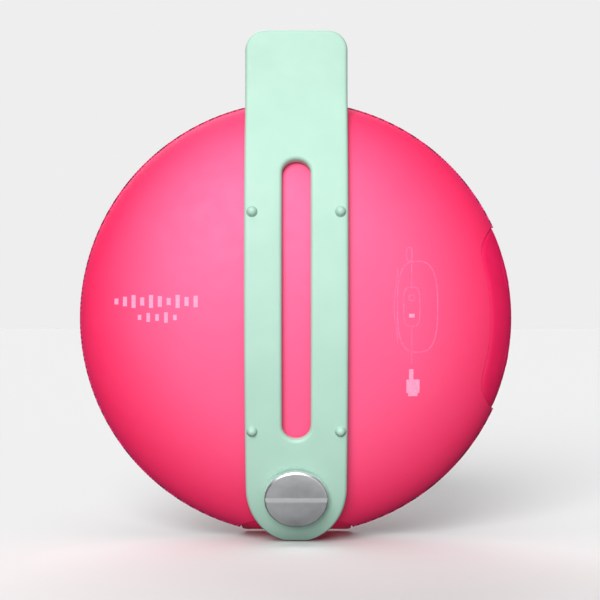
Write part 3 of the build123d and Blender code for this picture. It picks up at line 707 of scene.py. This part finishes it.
mark_rubber, nodes, links, shader = finish("raised_mark_rubber", (0.88, 0.03, 0.16), 0.42)
clouds = cloudy(nodes, links, 900, 0, 1)
tint(nodes, links, shader, clouds, (0.84, 0.025, 0.14), (0.92, 0.04, 0.18))
grain(nodes, links, shader, 6000, 0.15, 0.02 * MM)
power_ring = [
    (2.1 * math.cos(turn), 2.1 * math.sin(turn))
    for turn in (math.radians(a) for a in range(40, 321, 14))
]
play_shapes = [
    [(1.7, 0.2), (-1.7, 0.2)], [(1.25, 0.75), (-1.25, 0.75)],
    [(0.8, 1.3), (-0.8, 1.3)], [(0.3, 1.85), (-0.3, 1.85)],
    [(1.7, -1.0), (-1.7, -1.0)], [(1.7, -2.3), (-1.7, -2.3)],
]
for name, z, body, node in (
    ("power_key", key_z, "power_key", "power_button"),
    ("play_key", -key_z, "play_key", "play_button"),
):
    cap = pill_cap(
        name, key_length, key_width, 0.35 * MM, 2.0 * MM,
        lambda u, v, sink, z=z: side_point(u, v, key_sink + sink, z),
    )
    dress(cap, panel_rubber, body)
    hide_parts(node)
    if node == "power_button":
        rows = [side_ribbon(power_ring, 0.55, z), side_ribbon([(2.6, 0), (0.6, 0)], 0.55, z)]
    else:
        rows = [side_ribbon(shape, 0.6, z) for shape in play_shapes]
    dress(key_marks(name + "_mark", rows), mark_rubber, body)

# Foot and port door. The foot is a rubber pad pressed into the bottom of the case: it
# stands proud and flat in front, slopes up behind, and ends flush with the dome. The
# port door is a thin rubber flap in its middle, hinged along its front edge.
door_low, door_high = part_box("port_door")
door_length, door_width = door_high.x - door_low.x, door_high.y - door_low.y
door_y = (door_high.y + door_low.y) / 2
foot_flat_rear = -10.5 * MM
foot_slope = 0.17
foot_inset = 0.25 * MM


def foot_under(y):
    """Height of the foot's underside at y."""
    return foot_low.z + max(0.0, y - foot_flat_rear) * foot_slope


def foot_point(u, v, sink):
    """A point of the foot's underside, which never stands out of the dome behind."""
    under = foot_under(v)
    if v > 0:
        round_of_dome = math.sqrt(max(0.0, (rear_radius(v) - foot_inset) ** 2 - u * u))
        under = max(under, middle.z - round_of_dome)
    return Vector((u, v, under + sink))


def foot_ring(inset, sink, share=1.0):
    return [
        foot_point(u * share, foot_y + (v - foot_y) * share, sink) for u, v in foot_loop(inset)
    ]


foot_edge = 0.8 * MM
foot_rings = [foot_ring(foot_edge, 0, (k + 0.5) / 12) for k in range(12)]
foot_rings += [foot_ring(inset, sink) for inset, sink in round_over(foot_edge)]
foot_rings += [foot_ring(0, 2.5 * MM)]
foot_top = [Vector((u, v, foot_high.z)) for u, v in foot_loop()]
half_way = [Vector((p.x * 0.5, foot_y + (p.y - foot_y) * 0.5, p.z)) for p in foot_top]
foot_rings += [foot_top, half_way]
foot = loft("foot", foot_rings)
rounder = bmesh.new()
rounder.from_mesh(foot.data)
bmesh.ops.holes_fill(rounder, edges=[e for e in rounder.edges if e.is_boundary])
bmesh.ops.recalc_face_normals(rounder, faces=rounder.faces)
rounder.to_mesh(foot.data)
rounder.free()
door_gap = 0.45 * MM
door_opening = [
    (u, door_y + v) for u, v in pill(door_length + 2 * door_gap, door_width + 2 * door_gap)
]
cut(foot, [from_below(door_opening)])
foot_rubber, nodes, links, shader = finish("foot_rubber", (0.86, 0.006, 0.095), 0.6)
clouds = cloudy(nodes, links, 150, 0, 1)
tint(nodes, links, shader, clouds, (0.82, 0.005, 0.088), (0.90, 0.008, 0.102))
links.new(cloudy(nodes, links, 500, 0.55, 0.68), shader.inputs["Roughness"])
grain(nodes, links, shader, 5000, 0.25, 0.03 * MM)
dress(foot, foot_rubber, "case")
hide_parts("foot_pad")
door = pill_cap(
    "port_flap", door_length, door_width, 0.3 * MM, 1.2 * MM,
    lambda u, v, sink: foot_point(u, door_y + v, 0.3 * MM + sink),
)
dress(door, foot_rubber, "port_flap")
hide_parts("port_door")
pull = pill_cap(
    "port_flap_pull", 5.0 * MM, 1.1 * MM, 0.3 * MM, 0.4 * MM,
    lambda u, v, sink: foot_point(u, door_y + 2.9 * MM + v, 0.05 * MM + sink), flats=2,
)
dress(pull, foot_rubber, "port_flap")

# Strap. One moulding of mint silicone, 2.8 mm thick with rounded edges: a round lug
# under the stud, a long slotted blade that follows the dome, four small nubs beside the
# slot's ends, and a free tab that stands above the case.
strap_thick = 2.8 * MM
strap_lift = 0.35 * MM
strap_deep = shell_depth + strap_lift + strap_thick
strap_far = shell_radius + strap_lift + strap_thick
strap_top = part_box("strap_blade")[1].z - middle.z
lug_low, lug_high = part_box("strap_lug")
lug_end = lug_low.z - middle.z
lug_middle = -46.4 * MM
lug_oval = 16.0 * MM
bend_from, bend_to = 52.0 * MM, 64.0 * MM
tab_lean = math.radians(8.0)


def strap_line():
    """Side view of the strap's outer face from lug to tab: way along, y, z and lean."""
    points = []
    turn_from, turn_to = math.asin(lug_end / strap_far), math.asin(bend_from / strap_far)
    for k in range(240):
        turn = turn_from + (turn_to - turn_from) * k / 239
        lean = math.atan(strap_deep / strap_far * math.tan(turn))
        points.append((strap_deep * math.cos(turn), strap_far * math.sin(turn), lean))
    y, z, lean = points[-1]
    bend = (bend_to - bend_from) / (math.sin(lean) - math.sin(tab_lean))
    for k in range(1, 41):
        now = lean + (tab_lean - lean) * k / 40
        points.append((
            y - bend * (math.cos(now) - math.cos(lean)),
            z + bend * (math.sin(lean) - math.sin(now)),
            now,
        ))
    y, z, lean = points[-1]
    for k in range(1, 31):
        up = (strap_top - z) * k / 30
        points.append((y - up * math.tan(tab_lean), z + up, tab_lean))
    points = np.array(points)
    way = np.concatenate([[0], np.cumsum(np.hypot(*np.diff(points[:, :2], axis=0).T))])
    return np.column_stack([way, points])


strap_route = strap_line()


def way_at(z):
    """Way along the strap's outer face at a height."""
    return float(np.interp(z, strap_route[:, 2], strap_route[:, 0]))


def strap_point(x, way, sink):
    y, z, lean = (float(np.interp(way, strap_route[:, 0], strap_route[:, k])) for k in (1, 2, 3))
    if way < 0:
        lean = strap_route[0, 3]
        y, z = y + way * -math.sin(lean), z + way * math.cos(lean)
    return middle + Vector((x, y - sink * math.cos(lean), z - sink * math.sin(lean)))


strap_end = way_at(strap_top)
half_top, half_low = 14.1 * MM, 13.6 * MM
tab_corner = 5.6 * MM


def half_width(way):
    return half_low + (half_top - half_low) * way / strap_end


def strap_outline(inset):
    """The strap's outline laid flat, drawn in by inset: (x, way along)."""
    corner = tab_corner
    lug_top = way_at(lug_middle)
    right = []
    for k in range(1, 60):
        way = lug_top + (strap_end - corner - lug_top) * k / 60
        right.append((half_width(way) - inset, way))
    for k in range(13):
        turn = math.pi / 2 * k / 12
        reach = corner - inset
        x = half_width(strap_end) - corner + reach * math.cos(turn)
        right.append((x, strap_end - corner + reach * math.sin(turn)))
    reach = half_width(strap_end) - corner
    across = [(reach * (1 - 2 * k / 12), strap_end - inset) for k in range(1, 12)]
    left = [(-x, way) for x, way in reversed(right)]
    lug = []
    for k in range(49):
        turn = math.pi * k / 48
        x = -half_width(lug_top) * math.cos(turn)
        z = lug_middle - lug_oval * math.sin(turn)
        lug.append((x, way_at(max(z, lug_end))))
    drawn = []
    for k, (x, way) in enumerate(lug):
        a, b = lug[max(k - 1, 0)], lug[min(k + 1, 48)]
        along = Vector((b[0] - a[0], b[1] - a[1])).normalized()
        drawn.append((x - along.y * inset, way + along.x * inset))
    return right + across + left + drawn


slot_top, slot_bottom = 43.0 * MM, -32.4 * MM
slot_radius = 3.85 * MM
slot_from, slot_to = way_at(slot_bottom), way_at(slot_top)


def slot_outline(count, inset):
    """The slot's outline with as many points as the strap's, matched by direction."""
    radius = slot_radius + inset
    low, high = slot_from + slot_radius, slot_to - slot_radius
    outer = strap_outline(0)
    points = []
    for x, way in outer:
        if low < way < high:
            points.append((math.copysign(radius, x), way))
        else:
            hub = high if way >= high else low
            aim = Vector((x, way - hub)).normalized()
            points.append((aim.x * radius, hub + aim.y * radius))
    return points[:count]


def strap_rings():
    """Rings from the slot's wall over the outer face to the rim, and back beneath."""
    edge = 1.0 * MM
    over = round_over(edge, 5)
    outer_edge = strap_outline(edge)
    count = len(outer_edge)
    slot_edge = slot_outline(count, edge)
    rings = []
    for inset, sink in reversed(over):
        rings.append([strap_point(x, w, sink) for x, w in slot_outline(count, inset)])
    for k in range(1, 8):
        t = k / 8
        rings.append([
            strap_point(a[0] + (b[0] - a[0]) * t, a[1] + (b[1] - a[1]) * t, 0)
            for a, b in zip(slot_edge, outer_edge)
        ])
    for inset, sink in over:
        rings.append([strap_point(x, w, sink) for x, w in strap_outline(inset)])
    for inset, sink in reversed(over):
        rings.append([
            strap_point(x, w, strap_thick - sink * 0.6) for x, w in strap_outline(inset)
        ])
    for k in range(1, 8):
        t = 1 - k / 8
        rings.append([
            strap_point(a[0] + (b[0] - a[0]) * t, a[1] + (b[1] - a[1]) * t, strap_thick)
            for a, b in zip(slot_edge, outer_edge)
        ])
    for inset, sink in over:
        rings.append([
            strap_point(x, w, strap_thick - sink * 0.6) for x, w in slot_outline(count, inset)
        ])
    rings.append(rings[0])
    return rings


strap = loft("strap", strap_rings())
stud_joint = next(j for j in frame["joints"] if j["name"] == "stud_turn")
stud_axis = Vector(stud_joint["axis"]).normalized()
stud_seat = Vector(stud_joint["pos_m"])
stud_up = stud_axis.cross(Vector((1, 0, 0)))
if stud_up.z < 0:
    stud_up.negate()
stud_place = Matrix((
    (1, stud_up.x, stud_axis.x, stud_seat.x),
    (0, stud_up.y, stud_axis.y, stud_seat.y),
    (0, stud_up.z, stud_axis.z, stud_seat.z),
    (0, 0, 0, 1),
))
bushing_radius = 5.45 * MM
hole = [
    stud_place @ Vector((
        bushing_radius * math.cos(2 * math.pi * k / 64),
        bushing_radius * math.sin(2 * math.pi * k / 64), -6 * MM,
    ))
    for k in range(64)
]
cut(strap, [prism(hole, stud_axis * 12 * MM)])

mint, nodes, links, shader = finish(
    "mint_silicone", (0.40, 0.62, 0.515), 0.5, Specular_IOR_Level=0.35, Subsurface_Weight=0.06
)
shader.inputs["Subsurface Radius"].default_value = (0.8, 1.0, 0.9)
shader.inputs["Subsurface Scale"].default_value = 1.2 * MM
clouds = cloudy(nodes, links, 70, 0, 1)
tint(nodes, links, shader, clouds, (0.385, 0.605, 0.50), (0.415, 0.635, 0.53))
links.new(cloudy(nodes, links, 350, 0.46, 0.56), shader.inputs["Roughness"])
grain(nodes, links, shader, 4200, 0.2, 0.03 * MM)
strap.data.materials.clear()
strap.data.materials.append(mint)
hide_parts("strap_lug", "strap_blade")
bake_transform(strap)

nub_radius = 1.25 * MM
nub_profile = [(0, nub_radius * 1.02)]
for k in range(1, 9):
    turn = math.pi / 2 * (1 - k / 9)
    nub_profile.append((nub_radius * math.cos(turn), nub_radius * 1.02 * math.sin(turn)))
nub_profile += [(nub_radius * 1.02, 0.1 * MM), (nub_radius * 1.2, 0)]
nub_profile += [(nub_radius, -0.3 * MM), (0, -0.3 * MM)]
nub_x, upper_nub_z, lower_nub_z = 11.8 * MM, 28.5 * MM, -30.0 * MM
for row, z in (("upper", upper_nub_z), ("lower", lower_nub_z)):
    for side, x in (("left", nub_x), ("right", -nub_x)):
        way = way_at(z)
        lean = float(np.interp(way, strap_route[:, 0], strap_route[:, 3]))
        out = Vector((0, math.cos(lean), math.sin(lean)))
        spot = strap_point(x, way, 0)
        turn_to = Vector((0, 0, 1)).rotation_difference(out).to_matrix().to_4x4()
        nub_place = Matrix.Translation(spot) @ turn_to
        nub = turned(f"strap_nub_{row}_{side}", nub_profile, nub_place, 32)
        dress(nub, mint, "strap")

# Strap stud. Turned from stainless bar: a broad head with its edge broken and one
# straight slot for a coin, a neck that turns in the lug's bushing, and a threaded end.
head_radius = 8.65 * MM
head_rise = 2.3 * MM
head_profile = [
    (0, head_rise), (4 * MM, head_rise), (8.05 * MM, head_rise),
    (8.18 * MM, head_rise - 0.03 * MM), (8.28 * MM, head_rise - 0.10 * MM),
    (8.56 * MM, head_rise - 0.40 * MM), (8.62 * MM, head_rise - 0.50 * MM),
    (head_radius, head_rise - 0.65 * MM), (head_radius, 0.25 * MM),
    (8.5 * MM, 0.1 * MM), (4.0 * MM, 0.1 * MM), (4.0 * MM, -3.9 * MM), (2.5 * MM, -4.2 * MM),
    (2.5 * MM, -9.6 * MM), (2.0 * MM, -10.0 * MM), (0, -10.0 * MM),
]
stud = turned("stud", head_profile, stud_place, 160)
slot_shape = [
    (-1.0 * MM, 0.3 * MM), (-0.86 * MM, 0), (0, -0.13 * MM),
    (0.76 * MM, -0.25 * MM), (0.84 * MM, -0.22 * MM), (0.86 * MM, 0), (0.95 * MM, 0.3 * MM),
]
slot_loop = [stud_place @ Vector((-12 * MM, v, head_rise + w)) for v, w in slot_shape]
cut(stud, [prism(slot_loop, Vector((24 * MM, 0, 0)))])
steel, nodes, links, shader = finish(
    "turned_steel", (0.84, 0.85, 0.87), 0.4, Metallic=1.0, Anisotropic=0.5
)
links.new(cloudy(nodes, links, 900, 0.36, 0.46), shader.inputs["Roughness"])
clouds = cloudy(nodes, links, 500, 0, 1)
tint(nodes, links, shader, clouds, (0.81, 0.82, 0.84), (0.88, 0.89, 0.91))
grain(nodes, links, shader, 2500, 0.12, 0.02 * MM)
dress(stud, steel, "stud")
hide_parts("strap_stud")

# Volume keys. Two round rubber caps that stand through the cloth, one with a raised
# bar and one with a raised cross.
mark_rise = 0.4 * MM
stem_radius = 2.6 * MM
key_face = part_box("volume_up_button")[0].y + mark_rise
key_rubber, nodes, links, shader = finish("key_mint", (0.50, 0.80, 0.67), 0.5)
clouds = cloudy(nodes, links, 200, 0, 1)
tint(nodes, links, shader, clouds, (0.47, 0.77, 0.64), (0.54, 0.84, 0.71))
grain(nodes, links, shader, 5000, 0.2, 0.03 * MM)
for node, body, (key_x, key_height, key_radius) in zip(
    ("volume_up_button", "volume_down_button"),
    ("volume_up_key", "volume_down_key"),
    volume_places,
):
    place = Matrix.Translation((key_x, key_face, key_height)) @ Matrix.Rotation(math.pi / 2, 4, "X")
    edge = 0.8 * MM
    profile = [(0, 0), (key_radius * 0.5, -0.02 * MM)]
    profile += [(key_radius - inset, -sink) for inset, sink in round_over(edge)]
    profile += [(key_radius, -3.4 * MM), (stem_radius, -3.4 * MM)]
    profile += [(stem_radius, -5.6 * MM), (0, -5.6 * MM)]
    cap = turned(body + "_cap", profile, place, 96)
    dress(cap, key_rubber, body)
    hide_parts(node)
    bars = ((0.0,) if "down" in node else (0.0, math.pi / 2))
    for k, turn in enumerate(bars):
        c, s = math.cos(turn), math.sin(turn)
        bar = pill_cap(
            f"{body}_bar_{k}", 6.8 * MM, 1.7 * MM, 0.3 * MM, 0.5 * MM,
            lambda u, v, sink, c=c, s=s, x=key_x, h=key_height, k=k: Vector(
                (x + u * c - v * s, key_face - (0.38 - 0.04 * k) * MM + sink, h + u * s + v * c)
            ), flats=2,
        )
        dress(bar, key_rubber, body)

# Inside parts. They keep the shapes they are machined, moulded or wound to, and each
# group gets its own finish: black moulded frames, plated steel, ferrite, copper wire,
# pressed cone, board, shrink sleeve and leads.


def moulded(name, colour, roughness, scale, **sockets):
    material, nodes, links, shader = finish(name, colour, roughness, **sockets)
    dark = tuple(c * 0.88 for c in colour)
    light = tuple(min(1.0, c * 1.12) for c in colour)
    tint(nodes, links, shader, cloudy(nodes, links, scale * 0.1, 0, 1), dark, light)
    worn = cloudy(nodes, links, scale * 0.3, roughness * 0.88, roughness * 1.12)
    links.new(worn, shader.inputs["Roughness"])
    grain(nodes, links, shader, scale, 0.25, 0.03 * MM)
    return material


inside = {
    "inner_plastic": moulded("black_moulding", (0.035, 0.035, 0.04), 0.55, 3500),
    "seal_rubber": moulded("seal_rubber", (0.02, 0.02, 0.02), 0.65, 2500),
    "magnet_ferrite": moulded("ferrite", (0.07, 0.07, 0.08), 0.5, 1800),
    "zinc_steel": moulded("zinc_plated_steel", (0.55, 0.56, 0.58), 0.32, 1500, Metallic=1.0),
    "coil_copper": moulded("enamelled_copper", (0.62, 0.24, 0.10), 0.3, 4000, Metallic=1.0),
    "cone_paper": moulded("pressed_cone", (0.06, 0.06, 0.065), 0.75, 2200),
    "radiator_metal": moulded("dark_anodised_plate", (0.16, 0.16, 0.17), 0.36, 2600, Metallic=1.0),
    "brass_insert": moulded("knurled_brass", (0.66, 0.48, 0.20), 0.3, 3000, Metallic=1.0),
    "board_green": moulded("green_board", (0.015, 0.11, 0.055), 0.4, 1200),
    "switch_black": moulded("switch_black", (0.03, 0.03, 0.035), 0.4, 3000),
    "tinned_steel": moulded("tinned_sheet", (0.66, 0.67, 0.69), 0.28, 1400, Metallic=1.0),
    "cell_sleeve": moulded("cell_sleeve", (0.05, 0.14, 0.34), 0.25, 900),
    "lead_black": moulded("lead_insulation", (0.02, 0.02, 0.02), 0.45, 3200),
    "stud_metal": steel,
    "front_fabric": moulded("spider_cloth", (0.30, 0.18, 0.07), 0.85, 5000),
}
for entry in frame["record"]["subparts"]:
    node = frame["nodes"][entry["node"]]
    if not node.hide_render:
        node.data.materials.clear()
        node.data.materials.append(inside[entry["material_slot"]])

# Room: a plain pale floor that gives no bounce of its own, a soft key light behind and a
# little to the side, weaker ones above, in front, beside and below, and a level camera
# behind the speaker.
floor = new_piece("floor", [(-3, -3, 0), (3, -3, 0), (3, 3, 0), (-3, 3, 0)], [(0, 1, 2, 3)])
floor_paint = finish("pale_floor", (0.752, 0.754, 0.754), 1.0, Specular_IOR_Level=0.0)[0]
floor.data.materials.append(floor_paint)
floor.visible_diffuse = False
floor.visible_glossy = False
floor.visible_shadow = False
floor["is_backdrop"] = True

world = bpy.data.worlds.new("studio")
bpy.context.scene.world = world
world.use_nodes = True
tree = world.node_tree
background = tree.nodes["Background"]
background.inputs["Color"].default_value = (0.855, 0.855, 0.855, 1)
background.inputs["Strength"].default_value = 1.0
dim = tree.nodes.new("ShaderNodeBackground")
dim.inputs["Color"].default_value = (1, 1, 1, 1)
dim.inputs["Strength"].default_value = 0.06
rays = tree.nodes.new("ShaderNodeLightPath")
choose = tree.nodes.new("ShaderNodeMixShader")
tree.links.new(rays.outputs["Is Camera Ray"], choose.inputs[0])
tree.links.new(dim.outputs[0], choose.inputs[1])
tree.links.new(background.outputs[0], choose.inputs[2])
tree.links.new(choose.outputs[0], tree.nodes["World Output"].inputs["Surface"])


def soft_sun(name, azimuth, elevation, spread, strength):
    """A wide, far light; azimuth 180 is straight behind the speaker."""
    a, e = math.radians(azimuth), math.radians(elevation)
    way = Vector((math.sin(a) * math.cos(e), -math.cos(a) * math.cos(e), math.sin(e)))
    data = bpy.data.lights.new(name, "SUN")
    data.angle = math.radians(spread)
    data.energy = strength
    lamp = bpy.data.objects.new(name, data)
    bpy.context.scene.collection.objects.link(lamp)
    lamp.location = middle + way
    lamp.rotation_mode = "QUATERNION"
    lamp.rotation_quaternion = (-way).to_track_quat("-Z", "Y")
    return lamp


soft_sun("key_light", 166, 27, 36, 3.35)
soft_sun("top_light", 150, 74, 60, 1.0)
soft_sun("front_fill", 12, 30, 50, 1.9)
soft_sun("side_fill", 216, -16, 70, 0.6)
soft_sun("low_fill", 160, -36, 60, 0.3)

camera_data = bpy.data.cameras.new("camera")
camera_data.lens = 87.0
camera_data.sensor_width = 36.0
camera_data.clip_start = 0.01
camera = bpy.data.objects.new("camera", camera_data)
bpy.context.scene.collection.objects.link(camera)
camera.location = middle + Vector((-1.0 * MM, 408 * MM, 5.0 * MM))
camera.rotation_euler = (math.pi / 2, 0, math.pi)
bpy.context.scene.camera = camera
bpy.context.scene.view_settings.view_transform = "Standard"

low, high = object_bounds()
